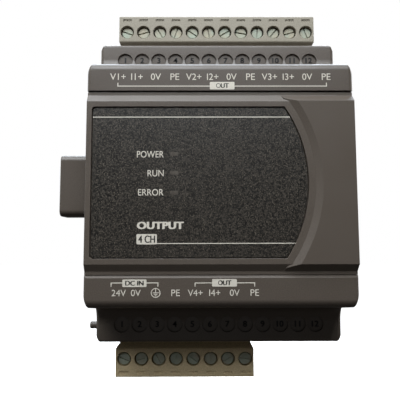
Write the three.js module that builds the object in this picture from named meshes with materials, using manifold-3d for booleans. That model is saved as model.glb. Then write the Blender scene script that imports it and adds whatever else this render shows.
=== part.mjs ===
// Analogue output expansion module for a small programmable controller.
// Millimetres, +Z up. The module stands as it hangs on a 35 mm DIN rail:
// X runs along the rail, the front faces -Y, and the origin is the centre of
// the face that rests on the front of the rail.
import * as THREE from 'three';
import { mergeVertices } from 'three/addons/utils/BufferGeometryUtils.js';
import Module from 'manifold-3d';

const wasm = await Module();
wasm.setup();

// ---------- driving dimensions ----------
const gap = 0.3;
const bodyWidth = 70;
const halfWidth = bodyWidth / 2;
const wall = 2.2;

// Depths, from the back to the front.
const rearY = 6;
const railSeatY = 0;
const partingY = -30;
const faceY = -70.6;
const ledgeY = faceY + 16.5;
const coverSeatY = -69;

// Heights of the stepped side outline.
const ledgeTop = 44;
const baseTop = 45;
const noseTop = 31.7;
const noseBottom = -32.7;
const noseRounding = 2.2;
const filletStart = 39.5;
const filletRadius = 5.5;

// Terminals.
const pitch = 5.08;
const terminalCount = 12;
const ledgeHoleZ = 39.2;
const ledgeHoleRadius = 2.25;
const ledgeHoleFloorY = ledgeY + 0.9;
const plugFaceY = faceY + 19.8;
const lowerPlugX = -9.9;

// Centre cover, with its arc about one centre.
const coverHalfHeight = 24.1;
const facetOuter = 23.2;
const facetInner = 21.35;
const stripY = -70.2;
const rimY = -71.3;
const plateauY = -72;
const filmHalfHeight = 19.9;
const filmLeft = -33.8;
const filmFrontY = -71;
const filmThickness = 0.35;
const filmFloorY = -70.35;
const arcCentreX = -12.95;
const filmArcRadius = 35.9;
const slopeInnerRadius = 37.75;
const slopeOuterRadius = 39.5;
const arcSteps = 20;
const arcTurnSteps = 90;

// Status lights.
const lightX = -12.1;
const lightZ = { power: 7.3, run: 2.3, error: -2.9 };
const lightWindow = { x: 1.4, z: 0.9 };
const guideHalf = { x: 1.1, z: 0.6 };
const guideCollar = { x: 1.8, z: 1.4, y0: 0.3, y1: 1.3 };
const ledBase = { x: 1.6, z: 0.8, front: 0.9 };
const ledDome = { x: 1, z: 0.6, front: 1.4 };

// Boards, from the front to the back.
const boardThickness = 1.6;
const displayBoardY = -61;
const displayBoardThickness = 1.2;
const ioBoardY = plugFaceY + 15;
const powerBoardY = -12;

// ---------- finishes ----------
function finish(colour, roughness, metalness = 0) {
  return { color: new THREE.Color(colour), roughness, metalness };
}
const greyPlastic = finish('#544e49', 0.55);
const coverPlastic = finish('#5b5651', 0.5);
const filmFinish = finish('#2c2926', 0.42);
const creamPlastic = finish('#b3ac98', 0.5);
const blackPlastic = finish('#1d1c1b', 0.6);
const clearPlastic = finish('#c9c8c0', 0.2);
const boardFinish = finish('#1f4a33', 0.5);
const platedSteel = finish('#8f9590', 0.35, 0.9);
const gold = finish('#b08d3e', 0.3, 1);
const canFinish = finish('#2b3038', 0.4, 0.2);

// ---------- shape helpers ----------
function solid(geometry) {
  geometry.deleteAttribute('normal');
  geometry.deleteAttribute('uv');
  const merged = mergeVertices(geometry, 1e-4);
  return new wasm.Manifold(new wasm.Mesh({
    numProp: 3,
    vertProperties: new Float32Array(merged.attributes.position.array),
    triVerts: new Uint32Array(merged.index.array),
  }));
}

function box(x0, x1, y0, y1, z0, z1) {
  const geometry = new THREE.BoxGeometry(x1 - x0, y1 - y0, z1 - z0);
  geometry.translate((x0 + x1) / 2, (y0 + y1) / 2, (z0 + z1) / 2);
  return solid(geometry);
}

function extrude(shape, depth, curveSegments) {
  return new THREE.ExtrudeGeometry(shape, { depth, bevelEnabled: false, curveSegments });
}

// The outline is drawn in Y and Z, and runs along X.
function extrudeAlongX(shape, x0, x1, curveSegments = 8) {
  const geometry = extrude(shape, x1 - x0, curveSegments);
  const axes = new THREE.Matrix4().makeBasis(
    new THREE.Vector3(0, 1, 0),
    new THREE.Vector3(0, 0, 1),
    new THREE.Vector3(1, 0, 0),
  );
  geometry.applyMatrix4(axes);
  geometry.translate(x0, 0, 0);
  return solid(geometry);
}

// The outline is drawn in X and Z, and runs along Y.
function extrudeAlongY(shape, y0, y1, curveSegments = 8) {
  const geometry = extrude(shape, y1 - y0, curveSegments);
  geometry.rotateX(Math.PI / 2);
  geometry.translate(0, y1, 0);
  return solid(geometry);
}

function polygon(points) {
  return new THREE.Shape(points.map(([a, b]) => new THREE.Vector2(a, b)));
}

function roundedRectangle(a0, a1, b0, b1, radius) {
  const shape = new THREE.Shape();
  shape.moveTo(a0 + radius, b0);
  shape.lineTo(a1 - radius, b0);
  shape.absarc(a1 - radius, b0 + radius, radius, -Math.PI / 2, 0, false);
  shape.lineTo(a1, b1 - radius);
  shape.absarc(a1 - radius, b1 - radius, radius, 0, Math.PI / 2, false);
  shape.lineTo(a0 + radius, b1);
  shape.absarc(a0 + radius, b1 - radius, radius, Math.PI / 2, Math.PI, false);
  shape.lineTo(a0, b0 + radius);
  shape.absarc(a0 + radius, b0 + radius, radius, Math.PI, 1.5 * Math.PI, false);
  return shape;
}

function arcPoints(a, b, radius, from, to, steps) {
  return Array.from({ length: steps + 1 }, (unused, index) => {
    const angle = from + (to - from) * index / steps;
    return [a + radius * Math.cos(angle), b + radius * Math.sin(angle)];
  });
}

function cylinderAlongY(x, z, radius, y0, y1, sides = 12) {
  const geometry = new THREE.CylinderGeometry(radius, radius, y1 - y0, sides);
  geometry.translate(x, (y0 + y1) / 2, z);
  return solid(geometry);
}

function cylinderAlongX(y, z, radius, x0, x1, sides = 12) {
  const geometry = new THREE.CylinderGeometry(radius, radius, x1 - x0, sides);
  geometry.rotateZ(Math.PI / 2);
  geometry.translate((x0 + x1) / 2, y, z);
  return solid(geometry);
}

// A range on one side of the middle, in rising order.
function onSide(side, near, far) {
  return side > 0 ? [near, far] : [-far, -near];
}

function joined(pieces) {
  return pieces.reduce((whole, piece) => whole.add(piece));
}

function cut(body, tools) {
  return tools.reduce((rest, tool) => rest.subtract(tool), body);
}

// ---------- the assembly ----------
const group = new THREE.Group();

function place(name, body, look, parent = group) {
  const result = body.getMesh();
  const geometry = new THREE.BufferGeometry();
  geometry.setAttribute('position', new THREE.BufferAttribute(result.vertProperties, 3));
  geometry.setIndex(new THREE.BufferAttribute(result.triVerts, 1));
  geometry.computeVertexNormals();
  const mesh = new THREE.Mesh(geometry, new THREE.MeshStandardMaterial(look));
  mesh.name = name;
  parent.add(mesh);
  return mesh;
}

function terminalPositions(count, centre = 0) {
  const first = centre - pitch * (count - 1) / 2;
  return Array.from({ length: count }, (unused, index) => first + pitch * index);
}

// ---------- front shell ----------
// Side outline of the stepped front half: ledge, hollow curve, nose, hollow
// curve, ledge. The inset draws the same outline one wall further in.
function sideOutline(inset, backY) {
  const curveY = ledgeY - filletRadius;
  const radius = filletRadius + inset;
  const frontY = faceY + inset;
  const topEdge = noseTop - inset;
  const bottomEdge = noseBottom + inset;
  const rounding = noseRounding - inset / 2;
  const tangent = (pointY, height) => {
    const away = new THREE.Vector2(pointY - curveY, height - filletStart);
    return away.angle() + Math.acos(radius / away.length());
  };
  const topAngle = tangent(frontY, topEdge) - 2 * Math.PI;
  const bottomAngle = tangent(frontY + rounding, -bottomEdge) - 2 * Math.PI;
  const outline = new THREE.Shape();
  outline.moveTo(backY, ledgeTop - inset);
  outline.lineTo(ledgeY + inset, ledgeTop - inset);
  outline.lineTo(ledgeY + inset, filletStart);
  outline.absarc(curveY, filletStart, radius, 0, topAngle, true);
  outline.lineTo(frontY, topEdge);
  outline.lineTo(frontY, bottomEdge + rounding);
  outline.absarc(frontY + rounding, bottomEdge + rounding, rounding, Math.PI, 1.5 * Math.PI, false);
  outline.absarc(curveY, -filletStart, radius, -bottomAngle, 0, true);
  outline.lineTo(ledgeY + inset, -ledgeTop + inset);
  outline.lineTo(backY, -ledgeTop + inset);
  return outline;
}

const innerX = halfWidth - 2;
const snapZ = [-25, 25];
const snap = { half: 4.5, inner: 30.6, outer: innerX - 0.4, length: 8 };

const hoodY = [faceY + 11, faceY + 20.5];
const hoodZ = [-8.3, 9.3];
const hoodLeft = -45.2;
const hoodWall = 1.2;
const hoodCorner = 1.8;
const tongueY = [hoodY[0] + 3.7, hoodY[0] + 5.7];
const tongueZ = [-5.8, 6.8];
const tongueRight = -27;
const socketPlay = 0.5;
const socketMouth = {
  y0: hoodY[0] - socketPlay,
  y1: hoodY[1] + socketPlay,
  z0: hoodZ[0] - socketPlay,
  z1: hoodZ[1] + socketPlay,
};
const pinY = ledgeY + 2;
const pinZ = -39.6;
const pinRadius = 1.05;
const pinTipX = -halfWidth - 2.4;
const pinLength = 3.4;

// The display window behind the film, and the play around fitted pieces.
const windowHalf = { x: 30, z: 20.5 };
const coverPlay = 0.35;
const plugPlay = 0.5;

// Plug frame: x from the plug's middle, y back from its screw face, z out of
// the housing from the ledge's outer edge.
const neck = { y0: 1.6, y1: 13.2, inner: -8, root: 1.2, shoulder: 2.7, sideStep: 1.1 };
const plugDepth = ioBoardY - plugFaceY;
const plugOuter = 10.9;
const clipSlot = { x: 1.3, depth: 2.5, z0: 9.1, z1: 10.05 };
const wireHole = { x: 1.95, y0: 5.2, y1: 10.4 };
const pinHole = { x: 0.9, y0: 6.6, y1: 8.4 };
const contactPin = { x: 0.5, y0: 7, y1: 8, tail: 2.5 };
const screwZ = 5.75;
const screwBoreDepth = 10;

function plugOpening(count, centre, sign) {
  const half = pitch * count / 2 - neck.sideStep + plugPlay;
  const z0 = sign > 0 ? ledgeTop - wall - 1 : -ledgeTop - 1;
  const y0 = plugFaceY + neck.y0 - plugPlay;
  const y1 = plugFaceY + neck.y1 + plugPlay;
  return box(centre - half, centre + half, y0, y1, z0, z0 + wall + 2);
}

function frontShell() {
  const outer = extrudeAlongX(sideOutline(0, partingY), -halfWidth, halfWidth);
  const inner = extrudeAlongX(sideOutline(wall, partingY + 1), -innerX, innerX);
  const coverSpace = coverHalfHeight + coverPlay;
  const hoodHole = [hoodY[0] - gap, hoodY[1] + gap, hoodZ[0] - gap, hoodZ[1] + gap];
  const socketHole = [socketMouth.y0, socketMouth.y1, socketMouth.z0, socketMouth.z1];
  const tools = [
    inner,
    box(-halfWidth - 1, halfWidth + 1, faceY - 1, coverSeatY, -coverSpace, coverSpace),
    box(-windowHalf.x, windowHalf.x, faceY - 1, faceY + 4, -windowHalf.z, windowHalf.z),
    plugOpening(12, 0, 1),
    plugOpening(8, lowerPlugX, -1),
    box(-halfWidth - 1, -innerX + 1, ...hoodHole),
    box(innerX - 1, halfWidth + 1, ...socketHole),
    cylinderAlongX(pinY, pinZ, pinRadius + 0.2, innerX + 0.5, halfWidth + 1),
  ];
  for (const x of terminalPositions(terminalCount)) {
    for (const z of [ledgeHoleZ, -ledgeHoleZ]) {
      tools.push(cylinderAlongY(x, z, ledgeHoleRadius, faceY, ledgeHoleFloorY));
    }
  }
  const pieces = [cut(outer, tools)];
  for (const side of [-1, 1]) {
    for (const z of snapZ) {
      const low = z - snap.half;
      const high = z + snap.half;
      const root = onSide(side, snap.inner, innerX + 0.2);
      const tongue = onSide(side, snap.inner, snap.outer);
      const hook = onSide(side, snap.outer - 0.2, innerX + 0.9);
      pieces.push(box(...root, partingY - snap.length, partingY - 1, low, high));
      pieces.push(box(...tongue, partingY - snap.length, partingY + snap.length - 0.4, low, high));
      pieces.push(box(...hook, partingY + 5.4, partingY + 7.4, low, high));
    }
  }
  pieces.push(locatingPin());
  return joined(pieces);
}

// Round-nosed pin that lines the module up with its neighbour on the left.
function locatingPin() {
  const nose = 0.5;
  const profile = [
    [0, 0],
    [pinRadius - nose, 0],
    [pinRadius - 0.15, 0.15],
    [pinRadius, nose],
    [pinRadius, pinLength],
    [0, pinLength],
  ].map(([r, along]) => new THREE.Vector2(r, along));
  const geometry = new THREE.LatheGeometry(profile, 14);
  geometry.rotateZ(-Math.PI / 2);
  geometry.translate(pinTipX, pinY, pinZ);
  return solid(geometry);
}

// ---------- centre cover ----------
// A raised band between two sloping facets. Right of the arc it is higher.
function band(frontY) {
  return extrudeAlongX(polygon([
    [stripY + 0.5, -facetOuter],
    [stripY, -facetOuter],
    [frontY, -facetInner],
    [frontY, facetInner],
    [stripY, facetOuter],
    [stripY + 0.5, facetOuter],
  ].reverse()), -halfWidth, halfWidth);
}

// The space in front of the arc's slope, turned about the arc's centre.
function arcHollow() {
  const slope = (slopeOuterRadius - slopeInnerRadius) / (rimY - plateauY);
  const front = plateauY - 2;
  const overrun = 0.25;
  const profile = [
    [0, front],
    [slopeOuterRadius + slope * (plateauY - front), front],
    [slopeInnerRadius - slope * overrun, rimY + overrun],
    [slopeInnerRadius - slope * overrun, coverSeatY],
    [0, coverSeatY],
  ].map(([r, y]) => new THREE.Vector2(r, y));
  const geometry = new THREE.LatheGeometry(profile, arcTurnSteps);
  geometry.translate(arcCentreX, 0, 0);
  return solid(geometry);
}

function filmOutline(inset) {
  const halfHeight = filmHalfHeight - inset;
  const radius = filmArcRadius - inset;
  const left = filmLeft + inset;
  const corner = 0.8;
  const endAngle = Math.asin(halfHeight / radius);
  const inwards = left + corner;
  return polygon([
    ...arcPoints(arcCentreX, 0, radius, -endAngle, endAngle, arcSteps),
    ...arcPoints(inwards, halfHeight - corner, corner, Math.PI / 2, Math.PI, 3),
    ...arcPoints(inwards, -halfHeight + corner, corner, Math.PI, 1.5 * Math.PI, 3),
  ]);
}

function centreCover() {
  const backY = coverSeatY - gap;
  const plate = box(-halfWidth, halfWidth, stripY, backY, -coverHalfHeight, coverHalfHeight);
  const high = band(plateauY).subtract(arcHollow());
  const body = joined([plate, band(rimY), high]);
  const tools = [extrudeAlongY(filmOutline(0), plateauY - 1, filmFloorY)];
  for (const z of Object.values(lightZ)) {
    const sides = [lightX - lightWindow.x, lightX + lightWindow.x];
    tools.push(box(...sides, plateauY - 1, backY + 1, z - lightWindow.z, z + lightWindow.z));
  }
  return cut(body, tools);
}

function labelFilm() {
  return extrudeAlongY(filmOutline(0.25), filmFrontY, filmFrontY + filmThickness);
}

// ---------- status lights ----------
// A box centred in X and Z.
function pad(half, y0, y1) {
  return box(-half.x, half.x, y0, y1, -half.z, half.z);
}

function lightPipe() {
  const head = pad(guideHalf, filmFloorY + 0.05, displayBoardY - 1.8);
  const collar = pad(guideCollar, coverSeatY + guideCollar.y0, coverSeatY + guideCollar.y1);
  return head.add(collar);
}

function statusLight() {
  const base = pad(ledBase, displayBoardY - ledBase.front, displayBoardY - gap);
  const dome = pad(ledDome, displayBoardY - ledDome.front, displayBoardY - ledBase.front + 0.1);
  return base.add(dome);
}

// ---------- terminals ----------
function plugBody(count) {
  const half = pitch * count / 2;
  const side = polygon([
    [0, plugOuter],
    [0, neck.shoulder],
    [neck.y0, neck.root],
    [neck.y0, neck.inner],
    [neck.y1, neck.inner],
    [neck.y1, neck.root],
    [plugDepth, neck.shoulder],
    [plugDepth, plugOuter],
  ]);
  const inset = half - neck.sideStep;
  const front = polygon([
    [-half, plugOuter + 1],
    [-half, neck.shoulder],
    [-inset, neck.root],
    [-inset, neck.inner - 1],
    [inset, neck.inner - 1],
    [inset, neck.root],
    [half, neck.shoulder],
    [half, plugOuter + 1],
  ]);
  const body = extrudeAlongX(side, -half, half)
    .intersect(extrudeAlongY(front, -1, plugDepth + 1));
  const tools = [];
  for (const x of terminalPositions(count)) {
    tools.push(cylinderAlongY(x, screwZ, screwBoreRadius, -1, screwBoreDepth, 16));
    tools.push(box(x - clipSlot.x, x + clipSlot.x, -1, clipSlot.depth, clipSlot.z0, clipSlot.z1));
    tools.push(box(x - wireHole.x, x + wireHole.x, wireHole.y0, wireHole.y1, 2, plugOuter + 1));
    tools.push(box(x - pinHole.x, x + pinHole.x, pinHole.y0, pinHole.y1, neck.inner - 1, 0.5));
  }
  return cut(body, tools);
}

const screwBoreRadius = 2.02;
const screwHeadRadius = 1.74;
const screwHeadY = 1.3;
const screwSlotAngles = [20, 165, 60, 110, 35, 80, 150, 10, 95, 130, 165, 70];

function terminalScrew() {
  const headDepth = 1.6;
  const shankRadius = 1.25;
  const tip = 8.6;
  const profile = [
    [0, screwHeadY],
    [screwHeadRadius, screwHeadY],
    [screwHeadRadius, screwHeadY + headDepth],
    [shankRadius, screwHeadY + headDepth],
    [shankRadius, tip],
    [0, tip],
  ].map(([r, y]) => new THREE.Vector2(r, y));
  const body = solid(new THREE.LatheGeometry(profile, 12));
  const slot = { depth: 0.8, half: 0.3 };
  return body.subtract(box(-3, 3, screwHeadY - 1, screwHeadY + slot.depth, -slot.half, slot.half));
}

function terminalPlug(count, prefix, centreX, turned) {
  const plug = new THREE.Group();
  plug.position.set(centreX, plugFaceY, turned ? -ledgeTop : ledgeTop);
  plug.rotation.y = turned ? Math.PI : 0;
  group.add(plug);
  place(`terminal_plug_${count}`, plugBody(count), creamPlastic, plug);
  const positions = terminalPositions(count);
  positions.forEach((x, index) => {
    const number = turned ? count - index : index + 1;
    const screw = place(`${prefix}_${number}`, terminalScrew(), platedSteel, plug);
    screw.position.set(x, 0, screwZ);
    screw.rotation.y = THREE.MathUtils.degToRad(screwSlotAngles[number - 1]);
  });
}

// Board-side half of the connector: a tray with one pin for each way.
function header(count) {
  const half = pitch * count / 2 - neck.sideStep + gap;
  const front = neck.y0 - gap;
  const back = neck.y1 + gap;
  const top = -wall - gap;
  const floor = neck.inner - gap;
  const side = 1.2;
  const bottom = floor - 1.5;
  const shroud = box(-half - side, half + side, front - side, back + side, bottom, top)
    .subtract(box(-half, half, front, back, floor, top + 1));
  const pins = terminalPositions(count).map((x) => box(
    x - contactPin.x, x + contactPin.x, contactPin.y0, contactPin.y1, floor - contactPin.tail, -1,
  ));
  return joined([shroud, ...pins]);
}

function placeHeader(count, centreX, turned) {
  const holder = new THREE.Group();
  holder.position.set(centreX, plugFaceY, turned ? -ledgeTop : ledgeTop);
  holder.rotation.y = turned ? Math.PI : 0;
  group.add(holder);
  place(`header_${count}`, header(count), creamPlastic, holder);
}

// ---------- bus connectors ----------
function busHood() {
  const hoodRight = -innerX + 1.5;
  const rim = 2;
  const outline = roundedRectangle(hoodY[0], hoodY[1], hoodZ[0], hoodZ[1], hoodCorner);
  const hood = extrudeAlongX(outline, hoodLeft, hoodRight, 4);
  const flange = box(
    -innerX + gap, hoodRight, hoodY[0] - rim, hoodY[1] + rim, hoodZ[0] - rim, hoodZ[1] + rim,
  );
  const mouth = box(
    hoodLeft - 1, -halfWidth + 1,
    hoodY[0] + hoodWall, hoodY[1] - hoodWall,
    hoodZ[0] + hoodWall, hoodZ[1] - hoodWall,
  );
  const tongueHole = box(-halfWidth, -innerX + 3, tongueY[0] - gap, tongueY[1] + gap,
    tongueZ[0] - gap, tongueZ[1] + gap);
  return cut(hood.add(flange), [mouth, tongueHole]);
}

function busContacts() {
  const footLeft = tongueRight - 3;
  const footY = [tongueY[0] - 1.5, tongueY[1] + 1.5];
  const tongue = box(hoodLeft + 2, tongueRight, ...tongueY, ...tongueZ);
  const foot = box(footLeft, tongueRight, ...footY, tongueZ[0] - 1, tongueZ[1] + 1);
  return tongue.add(foot);
}

function busSocket() {
  const left = 21;
  const mouth = socketMouth;
  const inside = [mouth.y0, mouth.y1, mouth.z0, mouth.z1];
  const around = (edges, margin) => edges.map((edge, index) => edge + (index % 2 ? margin : -margin));
  const tray = box(left, innerX - gap, ...around(inside, hoodWall))
    .subtract(box(left + hoodWall, halfWidth, ...inside));
  const receptacle = box(left + 0.5, innerX - 1, ...around([...hoodY, ...hoodZ], -hoodWall - socketPlay))
    .subtract(box(left + 2.5, halfWidth, ...around([...tongueY, ...tongueZ], 0.25)));
  return tray.add(receptacle);
}

// ---------- boards and what they carry ----------
function ioBoard() {
  const half = { x: 32.2, z: 41 };
  const notch = { inner: 30.2, half: snap.half + 0.7 };
  const notches = [];
  for (const side of [-1, 1]) {
    for (const z of snapZ) {
      const across = onSide(side, notch.inner, half.x + 1);
      notches.push(box(...across, ioBoardY - 1, ioBoardY + 3, z - notch.half, z + notch.half));
    }
  }
  return cut(pad(half, ioBoardY, ioBoardY + boardThickness), notches);
}

// A chip standing on the front of a board, with its middle at the origin.
function chip(size, boardFace, height) {
  const half = size / 2;
  const seat = boardFace - gap;
  const top = seat - height;
  const legHalf = 0.4;
  const pieces = [pad({ x: half, z: half }, top, seat - 0.2)];
  for (let step = -2; step <= 2; step += 1) {
    const at = step * size / 6;
    pieces.push(box(-half - 1, half + 1, top + height / 2, seat, at - legHalf, at + legHalf));
  }
  return joined(pieces);
}

// A ferrite core round a bobbin, open on both sides, with its middle at the origin.
function transformer() {
  const seat = powerBoardY - gap;
  const core = pad({ x: 9, z: 9 }, seat - 13, seat - 1);
  const openings = [-1, 1].map((side) => box(...onSide(side, 5, 10), seat - 10, seat - 4, -4, 4));
  return cut(core, openings).add(pad({ x: 6, z: 11 }, seat - 2, seat));
}

// An electrolytic can with a rolled groove near its foot.
function capacitor() {
  const radius = 4;
  const height = 12;
  const grooveDepth = 0.3;
  const profile = [
    [0, 0],
    [radius - 0.4, 0],
    [radius, 0.4],
    [radius, 1.8],
    [radius - grooveDepth, 2.2],
    [radius, 2.6],
    [radius, height],
    [0, height],
  ].map(([r, y]) => new THREE.Vector2(r, y));
  return solid(new THREE.LatheGeometry(profile, 12));
}

// ---------- rear base ----------
// The rail lies between the two reliefs, hooked behind the lip at the top.
const railSlot = { top: 16.2, seatBottom: -16.3, bottom: -18.5, grooveTop: 18.1, lip: 1.5 };
const seatRelief = 0.4;
const tab = { half: 8.2, flange: 10.2, flangeY: [1.5, 3], bodyY: [1.5, 5.6], overhang: 1.6 };
const tabHole = { z: 41, radius: 2.25 };
const tabChannelEnd = 22.6;
const pocket = { x: 13, z: 20.8, backWall: 2 };
const vent = { pitch: 5, half: 0.9, y0: -24, y1: -8, eachSide: 5 };

function tabChannel(sign) {
  const start = sign < 0 ? -railSlot.bottom - 1 : tabChannelEnd;
  const along = onSide(sign, start, baseTop + 1);
  const bodyHalf = tab.half + gap;
  const flangeHalf = tab.flange + gap;
  return [
    box(-bodyHalf, bodyHalf, tab.bodyY[0] - gap, rearY + 1, ...along),
    box(-flangeHalf, flangeHalf, tab.flangeY[0] - gap, tab.flangeY[1] + gap, ...along),
  ];
}

function rearBase() {
  const outer = box(-halfWidth, halfWidth, partingY + gap, rearY, -baseTop, baseTop);
  const across = [-halfWidth - 1, halfWidth + 1];
  const seatFloor = railSeatY - wall;
  const inside = baseTop - wall;
  const tools = [
    box(-innerX, innerX, partingY, seatFloor, -inside, inside),
    box(...across, railSeatY, rearY + 1, railSlot.seatBottom, railSlot.top),
    box(...across, railSeatY - seatRelief, railSlot.lip, railSlot.top, railSlot.grooveTop),
    box(...across, railSeatY - seatRelief, rearY + 1, railSlot.bottom, railSlot.seatBottom),
    ...tabChannel(1),
    ...tabChannel(-1),
  ];
  const windowHeight = snap.half + 0.4;
  for (const side of [-1, 1]) {
    const pocketX = onSide(side, pocket.x, innerX);
    const windowX = onSide(side, innerX - 1, halfWidth + 1);
    for (const end of [-1, 1]) {
      const pocketZ = onSide(end, pocket.z, inside);
      tools.push(box(...pocketX, seatFloor - 1, rearY - pocket.backWall, ...pocketZ));
    }
    for (const z of snapZ) {
      tools.push(box(...windowX, partingY + 4.9, partingY + 7.9, z - windowHeight, z + windowHeight));
    }
  }
  for (let step = -vent.eachSide; step <= vent.eachSide; step += 1) {
    const x = step * vent.pitch;
    tools.push(box(x - vent.half, x + vent.half, vent.y0, vent.y1, -baseTop - 1, baseTop + 1));
  }
  return cut(outer, tools);
}

const jaw = { reach: 2.6, tipY: 2.4, half: tab.half - 0.4 };

// Sliding tab with a screw hole, which also locks the rail at the bottom.
function slidingTab(innerEnd, withJaw) {
  const outerEnd = baseTop + tab.overhang;
  const body = box(-tab.half, tab.half, tab.bodyY[0], tab.bodyY[1], innerEnd, outerEnd);
  const flange = box(-tab.flange, tab.flange, tab.flangeY[0], tab.flangeY[1], innerEnd, baseTop - 4);
  const pieces = [body, flange];
  if (withJaw) {
    pieces.push(extrudeAlongX(polygon([
      [tab.bodyY[0], innerEnd + 1],
      [tab.bodyY[0], innerEnd - jaw.reach],
      [jaw.tipY, innerEnd - jaw.reach],
      [tab.bodyY[1], innerEnd + 0.4],
      [tab.bodyY[1], innerEnd + 1],
    ]), -jaw.half, jaw.half));
  }
  const leverSlot = { half: 3, z0: outerEnd - 2.2, z1: outerEnd - 1 };
  return cut(joined(pieces), [
    cylinderAlongY(0, tabHole.z, tabHole.radius, 0, rearY + 2, 20),
    box(-leverSlot.half, leverSlot.half, 0, rearY + 2, leverSlot.z0, leverSlot.z1),
  ]);
}

// ---------- put together ----------
place('rear_base', rearBase(), greyPlastic);
place('front_shell', frontShell(), greyPlastic);
place('centre_cover', centreCover(), coverPlastic);
place('label_film', labelFilm(), filmFinish);

for (const [name, z] of Object.entries(lightZ)) {
  place(`light_pipe_${name}`, lightPipe(), clearPlastic).position.set(lightX, 0, z);
  place(`led_${name}`, statusLight(), clearPlastic).position.set(lightX, 0, z);
}
const displayBoardBack = displayBoardY + displayBoardThickness;
const ioBoardBack = ioBoardY + boardThickness;
place('display_board', box(-24, 0, displayBoardY, displayBoardBack, -13, 13), boardFinish);
place('display_link', box(-20, -6, displayBoardBack + gap, ioBoardY - gap, -10, -7.5), blackPlastic);

place('io_board', ioBoard(), boardFinish);
const powerBoardHalf = { x: 30, z: 38 };
const powerBoard = pad(powerBoardHalf, powerBoardY, powerBoardY + boardThickness);
place('power_board', powerBoard, boardFinish);
place('board_link', box(24, 26.5, ioBoardBack + gap, powerBoardY - gap, -20, 20), blackPlastic);
place('dac_chip', chip(10, ioBoardY, 2.2), blackPlastic).position.set(10, 0, 0);
place('controller_chip', chip(9, ioBoardY, 1.8), blackPlastic).position.set(-14, 0, 16);
place('power_transformer', transformer(), blackPlastic).position.set(-16, 0, 0);
const converterHalf = { x: 10, z: 6 };
const converter = pad(converterHalf, powerBoardY - gap - 9, powerBoardY - gap);
place('isolated_converter', converter, blackPlastic).position.set(10, 0, -24);
[-16, -5].forEach((x, index) => {
  const can = place(`filter_capacitor_${index + 1}`, capacitor(), canFinish);
  can.position.set(x, powerBoardY - gap, 24);
  can.rotation.x = Math.PI;
});

terminalPlug(12, 'upper_screw', 0, false);
terminalPlug(8, 'lower_screw', lowerPlugX, true);
placeHeader(12, 0, false);
placeHeader(8, lowerPlugX, true);

place('bus_hood', busHood(), greyPlastic);
place('bus_contacts', busContacts(), blackPlastic);
place('bus_socket', busSocket(), blackPlastic);

place('mounting_tab', slidingTab(24.4, false), blackPlastic);
const clip = place('rail_clip', slidingTab(19.2, true), blackPlastic);
clip.rotation.y = Math.PI;

export default group;
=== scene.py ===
# %% [markdown]
# # An analogue output module for a DIN rail
# The real object is a plastic box that clicks onto a 35 mm rail beside a small
# controller. Two grey half shells hold the circuit boards, a raised cover carries the
# status film, and pluggable screw terminals stick out above and below. All sizes come
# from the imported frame, so each finished piece sits where the design says.

# %% Load the frame
import math
import bpy
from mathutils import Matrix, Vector


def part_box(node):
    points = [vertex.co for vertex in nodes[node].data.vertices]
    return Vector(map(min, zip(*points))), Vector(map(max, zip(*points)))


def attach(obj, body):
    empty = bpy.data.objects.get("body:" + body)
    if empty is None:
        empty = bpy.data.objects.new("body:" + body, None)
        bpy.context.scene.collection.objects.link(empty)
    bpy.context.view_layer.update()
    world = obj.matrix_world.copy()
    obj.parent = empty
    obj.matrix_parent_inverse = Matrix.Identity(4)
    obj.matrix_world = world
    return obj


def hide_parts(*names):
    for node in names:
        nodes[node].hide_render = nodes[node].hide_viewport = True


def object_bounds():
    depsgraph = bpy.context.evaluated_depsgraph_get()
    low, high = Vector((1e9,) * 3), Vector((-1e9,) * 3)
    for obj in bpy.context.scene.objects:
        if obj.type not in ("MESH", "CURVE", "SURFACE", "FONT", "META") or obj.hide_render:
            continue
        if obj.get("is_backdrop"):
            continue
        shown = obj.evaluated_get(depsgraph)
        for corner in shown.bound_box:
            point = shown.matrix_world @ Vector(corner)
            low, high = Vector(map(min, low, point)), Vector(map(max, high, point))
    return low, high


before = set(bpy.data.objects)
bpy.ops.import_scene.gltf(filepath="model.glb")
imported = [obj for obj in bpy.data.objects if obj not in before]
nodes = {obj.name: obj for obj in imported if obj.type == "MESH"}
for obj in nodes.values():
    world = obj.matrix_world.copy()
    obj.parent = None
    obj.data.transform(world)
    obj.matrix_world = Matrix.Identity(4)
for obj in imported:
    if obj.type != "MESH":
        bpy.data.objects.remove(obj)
cad_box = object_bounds()
MM = 0.001


def mm(*values):
    return tuple(value * MM for value in values)


def box_mm(node):
    low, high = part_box(node)
    return low / MM, high / MM


# %% [markdown]
# ## Driving sizes
# The side outline of the shell is a step: a low ledge at each end, and a nose between
# them. The main planes are read from the frame's boxes, and the other sizes are named
# here, in millimetres, for all later cells.

# %% Main planes and sizes
shell_low, shell_high = box_mm("front_shell")
cover_low, cover_high = box_mm("centre_cover")
base_low = box_mm("rear_base")[0]
half_width = cover_high.x
face_y = shell_low.y
ledge_top = shell_high.z
shell_gap = 0.3
parting_y = base_low.y - shell_gap
step_depth = 16.5
ledge_y = face_y + step_depth
nose_top = 31.7
nose_bottom = 32.1
top_draft = math.radians(11.27)
bottom_draft = math.radians(8.05)
fillet_radius = 5.5
wall = 2.2
pitch = 5.08
recess_count = 12


def ways(count):
    """The X of each terminal in a row, from the row's middle."""
    return [pitch * (way - (count - 1) / 2) for way in range(count)]


recess_xs = ways(recess_count)
main_planes = {"half width": half_width, "face": face_y, "ledge": ledge_y}
print({name: round(value, 2) for name, value in main_planes.items()})

# %% [markdown]
# ## Camera
# A short lens close to the module gives the strong spread between the near cover and
# the far terminals. The camera stands a little left of the middle and low down, and
# looks up by five degrees. Its turns are in degrees about X, Y and Z.

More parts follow.
